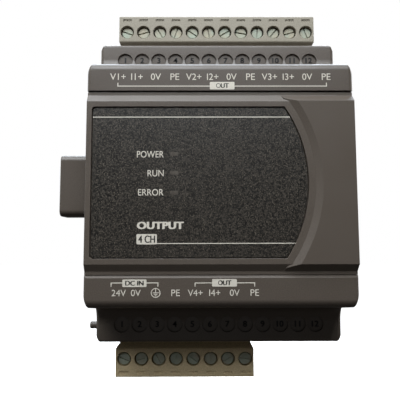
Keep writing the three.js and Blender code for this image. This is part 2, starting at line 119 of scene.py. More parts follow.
# %% Camera
camera_data = bpy.data.cameras.new("camera")
camera_data.lens = 42.27
camera_data.sensor_width = 36
camera_data.clip_start = 0.01
camera = bpy.data.objects.new("camera", camera_data)
camera_distance = 121.6
camera.location = mm(-6.09, face_y - camera_distance, -16.19)
camera_turns = (95.357, 0.1166, -0.3027)
camera.rotation_euler = [math.radians(angle) for angle in camera_turns]
bpy.context.scene.collection.objects.link(camera)
bpy.context.scene.camera = camera
print("camera", [round(v, 4) for v in camera.location])

# %% [markdown]
# ## Floor and light
# The module hangs over a plain white floor, in a soft studio: one big soft box in
# front and above, so that faces that look up are bright and faces that look down are
# nearly black, and weaker boxes behind and beside it for the other sides. The floor
# only shows itself and throws no light back, which keeps the undersides dark. Each
# soft box is given by its place and its size in millimetres, its power and its colour.

# %% Floor
bpy.ops.object.select_all(action="DESELECT")
floor_size, floor_z = 6, -160
bpy.ops.mesh.primitive_plane_add(size=floor_size, location=mm(0, 0, floor_z))
floor = bpy.context.object
floor.name = "studio_floor"
floor_paint = bpy.data.materials.new("studio_floor_white")
floor_paint.use_nodes = True
floor_shader = floor_paint.node_tree.nodes["Principled BSDF"]
floor_shader.inputs["Base Color"].default_value = (0.9, 0.9, 0.9, 1)
floor_shader.inputs["Roughness"].default_value = 0.9
floor_shader.inputs["Emission Color"].default_value = (1, 1, 1, 1)
floor_shader.inputs["Emission Strength"].default_value = 1.0
floor.data.materials.append(floor_paint)
floor.visible_diffuse = False
floor.visible_glossy = False
floor.visible_transmission = False
floor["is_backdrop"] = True


# %% Soft boxes
white_light = (1, 1, 1)


def soft_box(name, place, size, power, colour=white_light):
    lamp = bpy.data.lights.new(name, "AREA")
    lamp.shape = "RECTANGLE"
    lamp.size, lamp.size_y = mm(*size)
    lamp.energy = power
    lamp.color = colour
    stand = bpy.data.objects.new(name, lamp)
    stand.location = mm(*place)
    heading = Vector(mm(0, face_y / 2, 0)) - stand.location
    stand.rotation_euler = heading.to_track_quat("-Z", "Y").to_euler()
    stand.visible_camera = False
    bpy.context.scene.collection.objects.link(stand)
    return stand


soft_box("key_box", (-60, -300, 370), (460, 340), 4.1, (0.90, 0.95, 1.0))
soft_box("top_box", (0, 250, 500), (520, 450), 5.2, (0.80, 0.90, 1.0))
soft_box("back_box", (80, 480, 300), (500, 300), 4)
soft_box("left_box", (-480, 60, 120), (300, 300), 1.5, (0.85, 0.93, 1.0))
soft_box("right_box", (480, 60, 120), (300, 300), 1.5)
soft_box("front_box", (-40, -460, -170), (380, 300), 0.05)

# %% Surroundings
world = bpy.data.worlds.new("studio")
bpy.context.scene.world = world
world.use_nodes = True
sky = world.node_tree
sky.nodes.clear()
seen = sky.nodes.new("ShaderNodeBackground")
seen.inputs["Color"].default_value = (1, 1, 1, 1)
ambient = sky.nodes.new("ShaderNodeBackground")
ambient.inputs["Color"].default_value = (1.0, 0.97, 0.93, 1)
ambient.inputs["Strength"].default_value = 0.055
ray = sky.nodes.new("ShaderNodeLightPath")
mix = sky.nodes.new("ShaderNodeMixShader")
output = sky.nodes.new("ShaderNodeOutputWorld")
sky.links.new(ray.outputs["Is Camera Ray"], mix.inputs[0])
sky.links.new(ambient.outputs[0], mix.inputs[1])
sky.links.new(seen.outputs[0], mix.inputs[2])
sky.links.new(mix.outputs[0], output.inputs["Surface"])
bpy.context.scene.view_settings.view_transform = "Standard"
bpy.context.scene.view_settings.look = "None"

# %% [markdown]
# ## How a finish is built
# Every finish starts from one Principled shader. Noise on object coordinates gives a
# fine grain in the bump and the colour, and slow patches in the roughness, as moulds
# and handling leave them. The Bevel node turns the light round sharp edges, and the
# difference between its normal and the true one finds the edges, where plastic wears
# lighter. Every piece has its place in its mesh, so the grain has one scale all over.


# %% Finish builder
class Finish:
    """A Principled material, with short calls for the nodes that shape it."""

    def __init__(self, name, roughness, metallic=0.0, **sockets):
        self.material = bpy.data.materials.new(name)
        self.material.use_nodes = True
        self.tree = self.material.node_tree
        self.shader = self.tree.nodes["Principled BSDF"]
        self.shader.inputs["Metallic"].default_value = metallic
        self.shader.inputs["Roughness"].default_value = roughness
        for socket, value in sockets.items():
            self.shader.inputs[socket.replace("_", " ")].default_value = value
        self.place = self.node("ShaderNodeTexCoord").outputs["Object"]

    def node(self, kind, **settings):
        made = self.tree.nodes.new(kind)
        for setting, value in settings.items():
            setattr(made, setting, value)
        return made

    def noise(self, grain_mm, detail=3.0, stretch=(1, 1, 1)):
        turn = self.node("ShaderNodeMapping")
        turn.inputs["Scale"].default_value = stretch
        self.tree.links.new(self.place, turn.inputs["Vector"])
        made = self.node("ShaderNodeTexNoise")
        made.inputs["Scale"].default_value = 1 / (grain_mm * MM)
        made.inputs["Detail"].default_value = detail
        self.tree.links.new(turn.outputs[0], made.inputs["Vector"])
        return made.outputs["Fac"]

    def ramp(self, value, low, high, out_low=0.0, out_high=1.0):
        made = self.node("ShaderNodeMapRange")
        self.tree.links.new(value, made.inputs["Value"])
        made.inputs["From Min"].default_value = low
        made.inputs["From Max"].default_value = high
        made.inputs["To Min"].default_value = out_low
        made.inputs["To Max"].default_value = out_high
        return made.outputs["Result"]

    def spread(self, noise, out_low=0.0, out_high=1.0):
        """The usual range of a noise, stretched to the outputs."""
        return self.ramp(noise, 0.3, 0.7, out_low, out_high)

    def blend(self, share, first, second):
        made = self.node("ShaderNodeMix", data_type="RGBA")
        self.tree.links.new(share, made.inputs[0])
        for socket, colour in ((made.inputs[6], first), (made.inputs[7], second)):
            if isinstance(colour, bpy.types.NodeSocket):
                self.tree.links.new(colour, socket)
            else:
                socket.default_value = (*colour, 1)
        return made.outputs[2]

    def edges(self, radius_mm, strength=1.0):
        """The rounded normal, and how near a sharp edge a point is, from 0 to 1."""
        rounded = self.node("ShaderNodeBevel", samples=4)
        rounded.inputs["Radius"].default_value = radius_mm * MM
        true = self.node("ShaderNodeNewGeometry")
        dot = self.node("ShaderNodeVectorMath", operation="DOT_PRODUCT")
        self.tree.links.new(rounded.outputs[0], dot.inputs[0])
        self.tree.links.new(true.outputs["Normal"], dot.inputs[1])
        flat, sharp = 0.995, 0.85
        near = self.ramp(dot.outputs["Value"], flat, sharp, 0.0, strength)
        return rounded.outputs[0], near

    def bump(self, height, depth_mm, normal=None):
        made = self.node("ShaderNodeBump")
        made.inputs["Distance"].default_value = depth_mm * MM
        self.tree.links.new(height, made.inputs["Height"])
        if normal:
            self.tree.links.new(normal, made.inputs["Normal"])
        return made.outputs[0]

    def join(self, **sockets):
        for socket, value in sockets.items():
            self.tree.links.new(value, self.shader.inputs[socket.replace("_", " ")])
        return self.material


# %% [markdown]
# ## Moulded plastics
# The shells are warm grey ABS with a fine matt grain. The cover has the same colour
# and a smoother skin, so its facets carry soft highlights. The cream terminal blocks
# and the black inner parts are glass filled, which shows as a cloudy surface. The lower
# block is the same cream plastic, given a brighter and browner colour: this is painted
# warm light from below, not a second plastic.


# %% Moulded plastic
edge_mm = 0.15
speckle = 0.12
patch_mm = 9


def moulded_plastic(name, colour, roughness, grain_mm=0.28, depth_mm=0.006, wear=0.25):
    finish = Finish(name, roughness)
    grain = finish.noise(grain_mm, 4)
    patches = finish.noise(patch_mm, 2)
    normal, near_edge = finish.edges(edge_mm, wear)
    dark = tuple(part * (1 - speckle) for part in colour)
    light = tuple(part * (1 + speckle) for part in colour)
    worn = tuple(min(1, part * 1.7 + 0.02) for part in colour)
    body = finish.blend(finish.ramp(grain, 0.35, 0.65), dark, light)
    return finish.join(
        Base_Color=finish.blend(near_edge, body, worn),
        Roughness=finish.spread(patches, roughness - 0.04, roughness + 0.05),
        Normal=finish.bump(grain, depth_mm, normal),
    )


housing_grey = moulded_plastic("housing_grey", (0.089, 0.071, 0.056), 0.4)
cover_grey = moulded_plastic("cover_grey", (0.096, 0.077, 0.061), 0.38, 0.2, 0.003, 0.2)
# The lower block's colour is the cream with painted warm light: brighter and browner, standing in for
# the dim warm light under the module.
cream, cream_painted_warm_light = (0.285, 0.253, 0.193), (0.52, 0.41, 0.24)
terminal_cream = moulded_plastic("terminal_cream", cream, 0.55, 0.35, 0.004, 0.05)
lower_cream_painted_warm_light = moulded_plastic("lower_cream_painted_warm_light", cream_painted_warm_light, 0.6, 0.35, 0.004, 0.1)
inner_black = moulded_plastic("inner_black", (0.018, 0.017, 0.016), 0.5, 0.3, 0.004, 0.2)
tab_black = moulded_plastic("tab_black", (0.022, 0.021, 0.02), 0.45, 0.3, 0.005, 0.3)

# %% [markdown]
# ## Film, ink and light windows
# The status film is a polycarbonate sheet with a coarse orange peel texture printed
# black on its back, so it looks like dark granite. The ink on top is off white and
# slightly worn through. The light windows are left unprinted and look smoky.


# %% Film finish
def film_finish():
    finish = Finish("film_granite", 0.36, Specular_IOR_Level=0.65)
    grain = finish.noise(0.46, 5)
    fine = finish.noise(0.29, 2)
    black, brown, fleck = (0.005, 0.004, 0.003), (0.040, 0.033, 0.025), (0.14, 0.118, 0.09)
    base = finish.blend(finish.ramp(grain, 0.44, 0.6), black, brown)
    speckled = finish.blend(finish.ramp(fine, 0.58, 0.66, 0, 0.9), base, fleck)
    return finish.join(
        Base_Color=speckled,
        Roughness=finish.spread(grain, 0.3, 0.42),
        Normal=finish.bump(grain, 0.04),
    )


def ink_finish(name, colour):
    finish = Finish(name, 0.5)
    cover = finish.ramp(finish.noise(0.25, 3), 0.25, 0.6, 0.75, 1.0)
    thin = tuple(part * 0.6 for part in colour)
    return finish.join(
        Base_Color=finish.blend(cover, thin, colour),
        Roughness=finish.spread(finish.noise(1.2), 0.42, 0.6),
    )


film_granite = film_finish()
ink_white = ink_finish("ink_white", (0.67, 0.62, 0.53))
ink_dark = ink_finish("ink_dark", (0.03, 0.026, 0.021))
ink_black = ink_finish("ink_black", (0.008, 0.007, 0.006))


def window_finish():
    finish = Finish("window_smoke", 0.35)
    cloud = finish.noise(0.7, 2)
    dark, light = (0.070, 0.060, 0.048), (0.105, 0.090, 0.074)
    return finish.join(
        Base_Color=finish.blend(finish.spread(cloud), dark, light),
        Roughness=finish.spread(cloud, 0.3, 0.42),
    )


window_smoke = window_finish()

# %% [markdown]
# ## Metals, boards and clear parts
# Terminal screws and clamps are zinc plated steel, turned and then tumbled, so they
# have fine rings and dull patches. Contacts are gold over nickel. Boards are green
# solder mask over copper, which shows as slightly raised tracks.


# %% Metal finishes
no_stretch = (1, 1, 1)
scratch_mm = 0.12
metal_edge_mm = 0.08


def plated_metal(name, colour, tarnish, roughness, scratch=no_stretch, metallic=1.0, tarnish_mm=1.1):
    finish = Finish(name, roughness, metallic)
    patches = finish.noise(tarnish_mm, 3)
    scratches = finish.noise(scratch_mm, 2, scratch)
    normal, near_edge = finish.edges(metal_edge_mm, 0.5)
    aged = finish.blend(finish.ramp(patches, 0.4, 0.65), colour, tarnish)
    bright = tuple(min(1, part * 1.25) for part in colour)
    return finish.join(
        Base_Color=finish.blend(near_edge, aged, bright),
        Roughness=finish.spread(scratches, roughness - 0.08, roughness + 0.12),
        Normal=finish.bump(scratches, 0.006, normal),
    )


zinc, dull_zinc = (0.33, 0.36, 0.29), (0.36, 0.33, 0.25)
nickel, dull_nickel = (0.55, 0.54, 0.50), (0.38, 0.36, 0.32)
gold, dull_gold = (0.85, 0.62, 0.26), (0.62, 0.44, 0.18)
screw_zinc = plated_metal("screw_zinc", zinc, dull_zinc, 0.6, (1, 1, 6), 0.35, 4)
clamp_nickel = plated_metal("clamp_nickel", nickel, dull_nickel, 0.35, (6, 1, 1))
contact_gold = plated_metal("contact_gold", gold, dull_gold, 0.28)


# %% Board, clear and sleeve finishes
def solder_mask():
    finish = Finish("solder_mask", 0.32)
    cells = {"feature": "DISTANCE_TO_EDGE", "distance": "MANHATTAN"}
    tracks = finish.node("ShaderNodeTexVoronoi", **cells)
    finish.tree.links.new(finish.place, tracks.inputs["Vector"])
    tracks_per_metre = 320
    tracks.inputs["Scale"].default_value = tracks_per_metre
    lines = finish.ramp(tracks.outputs["Distance"], 0.05, 0.11)
    green = finish.blend(lines, (0.045, 0.16, 0.075), (0.018, 0.075, 0.038))
    return finish.join(
        Base_Color=green,
        Roughness=finish.spread(finish.noise(2.5), 0.26, 0.4),
        Normal=finish.bump(lines, 0.03),
    )


def clear_resin():
    finish = Finish("clear_resin", 0.12, IOR=1.49)
    finish.shader.inputs["Transmission Weight"].default_value = 0.85
    cloud = finish.noise(0.8, 2)
    greenish, clear = (0.78, 0.8, 0.78), (0.9, 0.9, 0.88)
    return finish.join(
        Base_Color=finish.blend(finish.spread(cloud), greenish, clear),
        Roughness=finish.spread(cloud, 0.08, 0.22),
    )


def shrink_sleeve():
    finish = Finish("shrink_sleeve", 0.3)
    wrinkles = finish.noise(0.6, 3, (1, 0.2, 1))
    deep, blue = (0.012, 0.02, 0.045), (0.02, 0.032, 0.07)
    return finish.join(
        Base_Color=finish.blend(finish.spread(wrinkles), deep, blue),
        Roughness=finish.spread(wrinkles, 0.24, 0.4),
        Normal=finish.bump(wrinkles, 0.02),
    )


board_green = solder_mask()
clear_guide = clear_resin()
sleeve_blue = shrink_sleeve()
print("finishes", len(bpy.data.materials))

# %% [markdown]
# ## Hand tools
# These tools wrap the steps that come back for every piece: start from a box or a
# cylinder, pick edges or faces by their place, cut one piece with another, and finish
# with small round edges. An operator acts on all that is selected, so everything is
# deselected first.


# %% Starting shapes
def clear_selection():
    bpy.ops.object.select_all(action="DESELECT")


def choose(piece):
    """Selects only this piece, for the operators that follow."""
    clear_selection()
    piece.select_set(True)
    bpy.context.view_layer.objects.active = piece


def settle(piece, name=None):
    """Moves the piece's place into its mesh, and names it."""
    choose(piece)
    bpy.ops.object.transform_apply(location=True, rotation=True, scale=True)
    if name:
        piece.name = name
        piece.data.name = name
    return piece


def around(middle, half):
    return middle - half, middle + half


def grown(span, gap):
    return span[0] - gap, span[1] + gap


def block(name, x, y, z):
    """A box between two values of X, Y and Z, in millimetres."""
    clear_selection()
    centre = [(low + high) / 2 for low, high in (x, y, z)]
    bpy.ops.mesh.primitive_cube_add(size=1, location=mm(*centre))
    piece = bpy.context.object
    piece.scale = mm(*(high - low for low, high in (x, y, z)))
    return settle(piece, name)


def rod(name, centre, radius, along, length, sides=40):
    """A cylinder about its centre, in millimetres, along X, Y or Z."""
    clear_selection()
    turns = {"X": (0, math.pi / 2, 0), "Y": (math.pi / 2, 0, 0), "Z": (0, 0, 0)}
    bpy.ops.mesh.primitive_cylinder_add(
        vertices=sides, radius=radius * MM, depth=length * MM,
        location=mm(*centre), rotation=turns[along],
    )
    return settle(bpy.context.object, name)


# %% Picking by place
def pick(piece, kind, test):
    """Goes into edit mode with only the VERT, EDGE or FACE items that pass the test."""
    bpy.context.view_layer.objects.active = piece
    bpy.ops.object.mode_set(mode="EDIT")
    bpy.ops.mesh.select_mode(type=kind)
    bpy.ops.mesh.select_all(action="DESELECT")
    bpy.ops.object.mode_set(mode="OBJECT")
    mesh = piece.data
    points = [vertex.co / MM for vertex in mesh.vertices]
    items = {"VERT": mesh.vertices, "EDGE": mesh.edges, "FACE": mesh.polygons}[kind]
    for item in items:
        own = [item.index] if kind == "VERT" else item.vertices
        item.select = test([points[index] for index in own])
    bpy.ops.object.mode_set(mode="EDIT")


def object_mode():
    bpy.ops.object.mode_set(mode="OBJECT")


plane_tolerance = 0.02


def at(corners, **planes):
    """True when all the corners lie on the planes, such as y=0."""
    return all(
        abs(getattr(corner, axis) - value) < plane_tolerance
        for corner in corners for axis, value in planes.items()
    )


def runs_back(ends):
    """True for an edge that runs straight back, along Y."""
    return abs(ends[0].x - ends[1].x) + abs(ends[0].z - ends[1].z) < 0.01


def extrude(x=0, y=0, z=0):
    """Pulls the picked faces out by millimetres, and goes back to object mode."""
    bpy.ops.mesh.extrude_region_move(TRANSFORM_OT_translate={"value": mm(x, y, z)})
    object_mode()


def shift(piece, test, x=0, y=0, z=0):
    """Moves the corners that pass the test, by millimetres."""
    pick(piece, "VERT", test)
    bpy.ops.transform.translate(value=mm(x, y, z))
    object_mode()


def scale_at(piece, test, factors, centre):
    """Scales the corners that pass the test about a centre, in millimetres."""
    pick(piece, "VERT", test)
    bpy.ops.transform.resize(value=factors, center_override=mm(*centre))
    object_mode()


def cut_across(piece, axis, place):
    """Cuts all the faces of a piece along one plane, and keeps both sides."""
    pick(piece, "FACE", lambda corners: True)
    normal = [float(axis == name) for name in "xyz"]
    bpy.ops.mesh.bisect(plane_co=mm(*(place * part for part in normal)), plane_no=normal)
    object_mode()


def round_edges(piece, radius, segments, test):
    pick(piece, "EDGE", test)
    bpy.ops.mesh.bevel(offset=radius * MM, segments=segments, profile=0.5, clamp_overlap=True)
    object_mode()


# %% Cutting, joining and repeating
def apply(piece, modifier):
    choose(piece)
    bpy.ops.object.modifier_apply(modifier=modifier.name)


def combine(piece, tools, how="DIFFERENCE"):
    """Cuts the piece with the tools, or joins them to it, and removes the tools."""
    for tool in tools:
        step = piece.modifiers.new("combine", "BOOLEAN")
        step.operation = how
        step.solver = "EXACT"
        step.object = tool
        apply(piece, step)
        bpy.data.objects.remove(tool)
    return piece


def repeat(piece, count, x=0, y=0, z=0):
    row = piece.modifiers.new("row", "ARRAY")
    row.count = count
    row.use_relative_offset = False
    row.use_constant_offset = True
    row.constant_offset_displace = mm(x, y, z)
    apply(piece, row)
    return piece


def join(pieces, name):
    clear_selection()
    for piece in pieces:
        piece.select_set(True)
    bpy.context.view_layer.objects.active = pieces[0]
    bpy.ops.object.join()
    return settle(bpy.context.object, name)


def duplicate(piece, name, x=0, y=0, z=0):
    twin = piece.copy()
    twin.data = piece.data.copy()
    bpy.context.scene.collection.objects.link(twin)
    twin.location = mm(x, y, z)
    return settle(twin, name)


# %% Cleaning and finishing
merge_mm = 0.002
flat_angle = 0.3
smooth_angle = 32


def tidy(piece):
    """Merges loose triangles, dissolves flat seams and turns the faces outwards."""
    pick(piece, "VERT", lambda corners: True)
    bpy.ops.mesh.remove_doubles(threshold=merge_mm * MM)
    bpy.ops.mesh.select_all(action="SELECT")
    bpy.ops.mesh.dissolve_limited(angle_limit=math.radians(flat_angle))
    bpy.ops.mesh.select_all(action="SELECT")
    bpy.ops.mesh.normals_make_consistent(inside=False)
    object_mode()
    return piece


def soften(piece, width, segments=2, angle=35):
    """Small round edges all over, and smooth shading between them."""
    edge = piece.modifiers.new("edges", "BEVEL")
    edge.width = width * MM
    edge.segments = segments
    edge.limit_method = "ANGLE"
    edge.angle_limit = math.radians(angle)
    edge.use_clamp_overlap = True
    apply(piece, edge)
    return smooth(piece)


def smooth(piece):
    """Smooth shading up to an angle, with the large flat faces kept flat."""
    choose(piece)
    bpy.ops.object.shade_smooth_by_angle(angle=math.radians(smooth_angle))
    weighting = piece.modifiers.new("flat faces", "WEIGHTED_NORMAL")
    weighting.keep_sharp = True
    weighting.weight = 80
    apply(piece, weighting)
    return piece


def copy_of(node, name):
    """A merged copy of a CAD node, ready for round edges."""
    twin = nodes[node].copy()
    twin.data = nodes[node].data.copy()
    twin.parent = None
    for key in list(twin.keys()):
        del twin[key]
    bpy.context.scene.collection.objects.link(twin)
    twin.name = name
    twin.data.name = name
    return tidy(twin)


def coat(piece, *finishes):
    piece.data.materials.clear()
    for finish in finishes:
        piece.data.materials.append(finish)
    return piece


def place_on(piece, body, finish=None, stands_for=()):
    """Gives the finished piece its coat, its body and the nodes it stands for."""
    if finish:
        coat(piece, finish)
    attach(piece, body)
    if stands_for:
        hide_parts(*stands_for)
    faces = sum(len(face.vertices) - 2 for face in piece.data.polygons)
    print(f"{piece.name}: {faces} triangles on {body}")
    return piece

# %% [markdown]
# ## Front shell
# The shell is one thin walled moulding: a step from the ledges to the nose, with a
# hollow curve where they meet. A block is cut at the two roots, the middle is pulled
# forward as the nose, and the corners are bevelled. The same steps, one wall smaller,
# give the block that hollows it out. The shell stands slightly proud of the base, as
# snap fitted shells do, which leaves a shadow line at the joint.


# %% Stepped body
proud = 0.3
hollow_segments = 14
outer_rounds = (2.0, 1.8)
inner_rounds = (0.8, 0.4)


def stepped_body(name, inset, back):
    """The step outline, moved in by the inset, or out when it is negative."""
    top = ledge_top - inset
    front = ledge_y + max(inset, 0)
    nose_y = face_y + max(inset, 0)
    upper = nose_top - inset
    lower = -nose_bottom + inset
    upper_root = upper + step_depth * math.tan(top_draft)
    lower_root = lower - step_depth * math.tan(bottom_draft)
    half = half_width - inset
    body = block(name, (-half, half), (front, back), (-top, top))
    for height in (upper_root, lower_root):
        cut_across(body, "z", height)
    middle = (lower_root - 1, upper_root + 1)
    pick(body, "FACE", lambda c: at(c, y=front) and all(middle[0] < p.z < middle[1] for p in c))
    extrude(y=nose_y - front)
    for root, edge in ((upper_root, upper), (lower_root, lower)):
        shift(body, lambda c: at(c, y=nose_y, z=root), z=edge - root)
    tidy(body)
    hollow = fillet_radius + max(inset, 0)

    def tangent(radius, draft):
        return radius / math.tan((math.pi / 2 + draft) / 2)

    for draft, height in ((top_draft, upper_root), (bottom_draft, lower_root)):
        round_edges(body, tangent(hollow, draft), hollow_segments, lambda c: at(c, y=front, z=height))
    for radius, height in zip(outer_rounds if inset < 0 else inner_rounds, (lower, upper)):
        round_edges(body, radius, 8, lambda c: at(c, y=nose_y, z=height))
    return body


# %% [markdown]
# Seen from the front, the corners of the nose and ledges are well rounded, while the
# upright edges are only softened. So the body is cut into a few slices near each end,
# and each slice is drawn in along a quarter of an ellipse, more in Z than in Y.


# %% Rounded ends
slices = 6
ledge_round = 0.8
end_round = {"corner": 1.4, "upright": 0.45}


def round_ends(body, half, corner, upright):
    """Draws the ends in by the corner's size in Z and by the upright's in Y."""
    for number in range(1, slices + 1):
        turn = math.radians(90 * number / slices)
        x = half - corner * (1 - math.sin(turn))
        inward, back = corner * (1 - math.cos(turn)), upright * (1 - math.cos(turn))
        for place in (x, -x):
            if number < slices:
                cut_across(body, "x", place)
            for side in (1, -1):
                shift(body, lambda c: at(c, x=place) and c[0].z * side > 0, z=-side * inward)
            shift(body, lambda c: at(c, x=place) and not at(c, y=parting_y), y=back)
    return body


shell = stepped_body("front_housing", -proud, parting_y)
outer_half, outer_top = half_width + proud, ledge_top + proud
for side in (outer_top, -outer_top):
    round_edges(shell, ledge_round, 4, lambda c: at(c, y=ledge_y, z=side))
round_ends(shell, outer_half, **end_round)
pick(shell, "FACE", lambda c: at(c, x=outer_half) or at(c, x=-outer_half))
bpy.ops.mesh.quads_convert_to_tris(ngon_method="CLIP")
object_mode()
print("outer body", len(shell.data.polygons), "faces")

# %% [markdown]
# ## Openings of the shell
# The shell is hollowed from behind, and cut for the cover, the plugs, the bus parts,
# the locating pin and the screwdriver recesses, which are one cutter repeated at the
# terminal pitch. A wedge slopes the sill under the cover.

# %% Cutters
cover_space = cover_high.z + 0.35
cover_sill = -cover_high.z - 0.08
hood_low = box_mm("bus_hood")[0]
hood_y = (face_y + 11, face_y + 20.5)
hood_z = (-8.3, 9.3)
upper_plug = box_mm("terminal_plug_12")
lower_plug = box_mm("terminal_plug_8")
recess_z = 39.2
recess_radius = 2.25
recess_floor = ledge_y + 0.55
pin_y, pin_z = ledge_y + 2, -39.6
pin_hole_x, pin_hole_radius, pin_hole_depth = 34.5, 1.25, 2.4
hood_gap, socket_gap = 0.3, 0.5
wedge_depth, wedge_height = 0.7, 0.65
past_sides = (-40, 40)
light_opening_x, light_opening_z = (-30, 30), (-20.5, 20.5)


def plug_slot(plug, low_z, high_z):
    """A cutter for the neck of a plug, through one ledge."""
    low, high = plug
    return block("cutter", (low.x + 0.6, high.x - 0.6), (low.y + 1.1, low.y + 13.7), (low_z, high_z))


def recess_row(height):
    """A row of blind holes that end at the recess floor."""
    depth = 10
    centre = (recess_xs[0], recess_floor - depth / 2, height)
    bore = rod("cutter", centre, recess_radius, "Y", depth, 48)
    return repeat(bore, recess_count, x=pitch)


def bus_window(x, gap):
    """A cutter through one side wall, larger than the hood by the gap all round."""
    return block("cutter", x, grown(hood_y, gap), grown(hood_z, gap))


wedge_y, wedge_z = face_y + wedge_depth, cover_sill - wedge_height
sill_wedge = block("wedge", past_sides, (face_y - 1, wedge_y), (wedge_z, cover_sill + 0.1))
shift(sill_wedge, lambda c: at(c, y=wedge_y, z=wedge_z), y=-wedge_depth)
cutters = [
    recess_row(recess_z),
    recess_row(-recess_z),
    rod("cutter", (pin_hole_x, pin_y, pin_z), pin_hole_radius, "X", pin_hole_depth, 32),
    bus_window((-36, -30), hood_gap),
    bus_window((30, 36), socket_gap),
    plug_slot(upper_plug, ledge_top - wall - 1, ledge_top + 1),
    plug_slot(lower_plug, -ledge_top - 1, -ledge_top + wall + 1),
    block("cutter", past_sides, (face_y - 1, cover_high.y + 0.3), (cover_sill, cover_space)),
    sill_wedge,
    block("cutter", light_opening_x, (face_y - 1, face_y + 4), light_opening_z),
    stepped_body("hollow", wall, parting_y + 1),
]
combine(shell, cutters)
tidy(shell)
print("shell after the cuts", len(shell.data.polygons), "faces")

# %% [markdown]
# ## Snap tongues and locating pin
# Four tongues with small hooks hold the shells together, seen through the windows in
# the side of the base. A round nosed pin lines the module up with its neighbour.

# %% Tongues and pin
tongue_width, tongue_place, hook_slope = (-4.5, 4.5), 25, 1.2
tongue = block("tongue", (30.6, 32.6), (parting_y - 8, parting_y + 7.6), tongue_width)
root = block("root", (30.6, 33.2), (parting_y - 8, parting_y - 1), tongue_width)
hook_x, hook_y = (32.3, 33.9), (parting_y + 5.4, parting_y + 7.4)
hook = block("hook", hook_x, hook_y, tongue_width)
shift(hook, lambda c: at(c, x=hook_x[1], y=hook_y[1]), x=-hook_slope)
combine(tongue, [root, hook], "UNION")
tongues = [duplicate(tongue, "tongue_copy", z=z) for z in (tongue_place, -tongue_place)]
for twin in list(tongues):
    mirrored = duplicate(twin, "tongue_copy")
    pick(mirrored, "VERT", lambda c: True)
    bpy.ops.transform.resize(value=(-1, 1, 1), center_override=(0, 0, 0))
    bpy.ops.mesh.normals_make_consistent(inside=False)
    object_mode()
    tongues.append(mirrored)
bpy.data.objects.remove(tongue)
pin_tip = shell_low.x
pin = rod("pin", (pin_tip + 1.7, pin_y, pin_z), 1.05, "X", 3.4, 32)
round_edges(pin, 0.45, 5, lambda c: at(c, x=pin_tip))
combine(shell, [*tongues, pin], "UNION")
tidy(shell)
smooth(shell)
place_on(shell, "housing", housing_grey, ["front_shell"])

# %% [markdown]
# ## Centre cover and status film
# The cover is a plate with a raised band between two sloping facets, and a higher end
# behind a turned arc. Its frame node already has the right faces, so a merged copy is
# only drawn out to the shell's sides and given small round edges, which catch the light.

# %% Cover
cover = copy_of("centre_cover", "status_cover")
drawn_out = 0.22
for end in (cover_low.x, cover_high.x):
    shift(cover, lambda c: at(c, x=end), x=math.copysign(drawn_out, end))
soften(cover, 0.16, 2, 20)
place_on(cover, "housing", cover_grey, ["centre_cover"])

# %% [markdown]
# The film is a printed sheet that lies in the cover's recess. A copy with a fine round
# edge keeps it crisp. Three light windows, left clear of black ink, sit flush in it.

# %% Film and windows
film = copy_of("label_film", "status_film")
soften(film, 0.05, 1, 40)
place_on(film, "housing", film_granite, ["label_film"])
film_front = box_mm("label_film")[0].y
for light in ("power", "run", "error"):
    low, high = box_mm(f"light_pipe_{light}")
    centre = (low + high) / 2
    depth = (film_front - 0.03, film_front + 0.1)
    window = block(f"light_window_{light}", around(centre.x, 1.05), depth, around(centre.z, 0.5))
    round_edges(window, 0.2, 4, runs_back)
    smooth(window)
    place_on(window, "housing", window_smoke)

# %% [markdown]
# ## Print
# The legends are screen printed in off white ink. Each text is set with Blender's own
# font, turned into a thin closed mesh and stretched to its height and width, so that
# it can be placed like any other piece. All wording is generic.


# %% Lettering
ink_depth = 0.012
size_per_cap = 1.37


def lettering(text, x, z, cap_height, surface_y, width=None, bold=0.0, side="CENTER", heavy=0.0):
    """Text on a face at surface_y, its middle (or its right end) at x, its middle at z.

    Bold widens every stroke a little, and heavy adds a copy shifted to the right.
    """
    clear_selection()
    bpy.ops.object.text_add(rotation=(math.pi / 2, 0, 0))
    words = bpy.context.object
    words.data.body = text
    words.data.size = cap_height * size_per_cap * MM
    words.data.extrude = ink_depth * MM
    words.data.offset = bold * MM
    words.data.space_character = 1 + bold
    bpy.ops.object.convert(target="MESH")
    words = settle(bpy.context.object)
    corners = [vertex.co / MM for vertex in words.data.vertices]
    low_x, high_x = min(c.x for c in corners), max(c.x for c in corners)
    low_z, high_z = min(c.z for c in corners), max(c.z for c in corners)
    stretch = width / (high_x - low_x) if width else cap_height / (high_z - low_z)
    words.scale = (stretch, 1, cap_height / (high_z - low_z))
    anchor = high_x if side == "RIGHT" else (low_x + high_x) / 2
    lift = (low_z + high_z) / 2 * words.scale.z
    words.location = mm(x - anchor * stretch - heavy / 2, surface_y, z - lift)
    settle(words)
    if heavy:
        combine(words, [duplicate(words, "words", x=heavy, z=0.03)], "UNION")
    return words


def patch(x, z, surface_y, rise=0.0):
    """A filled patch of ink between two values of X and Z, with round corners."""
    front, back = around(surface_y, ink_depth)
    ink = block("patch", x, (front - rise, back), z)
    radius = min(x[1] - x[0], z[1] - z[0]) * 0.12
    round_edges(ink, radius, 2, runs_back)
    return ink


def bracket(x, z, tick, surface_y, line=0.24):
    """A line with a tick at both ends, up for a positive tick and down for a negative."""
    ink = block("bracket", x, around(surface_y, ink_depth), around(z, line / 2))
    for cut_x in (x[0] + line, x[1] - line):
        cut_across(ink, "x", cut_x)
    side = z + math.copysign(line / 2, tick)
    middle, reach = (x[0] + x[1]) / 2, (x[1] - x[0]) / 2 - line + 0.01
    pick(ink, "FACE", lambda c: at(c, z=side) and max(abs(p.x - middle) for p in c) > reach)
    extrude(z=tick)
    return ink


